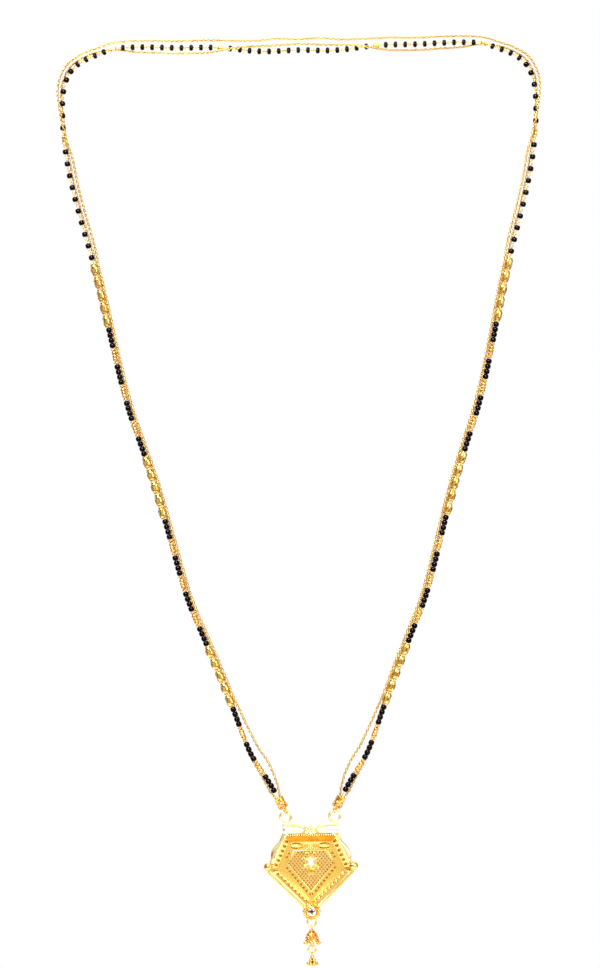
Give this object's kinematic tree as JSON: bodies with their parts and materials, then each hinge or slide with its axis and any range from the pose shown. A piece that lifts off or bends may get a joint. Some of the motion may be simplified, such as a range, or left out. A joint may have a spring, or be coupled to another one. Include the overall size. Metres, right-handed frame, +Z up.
{
  "type": "mangalsutra necklace",
  "caption": "Long black-bead and gold necklace of one bead strand and two fine chains, ending in caps that hold a swinging pierced gold tray pendant with a small bell drop.",
  "frame": {"origin": "underside of the strands at the middle of the loop's top, where the necklace rests on the back of the neck", "axes": "+Z up along the hanging necklace, +X across it, and the front faces -Y"},
  "size_m": [0.184, 0.0067, 0.3529],
  "materials": {
    "gold": "bright gold plating",
    "polished_gold": "mirror-polished gold plating",
    "black_glass": "glossy opaque black glass"
  },
  "bodies": {
    "necklace": {"wire_left": "gold", "wire_right": "gold", "black_beads_left": "black_glass", "black_beads_right": "black_glass", "gold_balls_left": "polished_gold", "gold_balls_right": "polished_gold", "spacers_left": "gold", "spacers_right": "gold", "back_beads_left": "black_glass", "back_beads_right": "black_glass", "centre_bead": "black_glass", "joiners_left": "gold", "joiners_right": "gold", "inner_chain_left": "gold", "inner_chain_right": "gold", "outer_chain_left": "gold", "outer_chain_right": "gold", "end_cap_left": "polished_gold", "end_cap_right": "polished_gold"},
    "pendant": {"pendant_frame": "polished_gold", "pendant_lattice": "gold", "boss_dome": "polished_gold", "drop_ring": "gold", "bell": "gold", "bell_ring": "gold", "ball_cluster": "polished_gold"}
  },
  "joints": [
    {"name": "pendant_swing", "type": "hinge", "parent": "necklace", "child": "pendant", "pos_m": [0, 0, -0.288], "axis": [1, 0, 0], "range_deg": [-80, 80]}
  ]
}
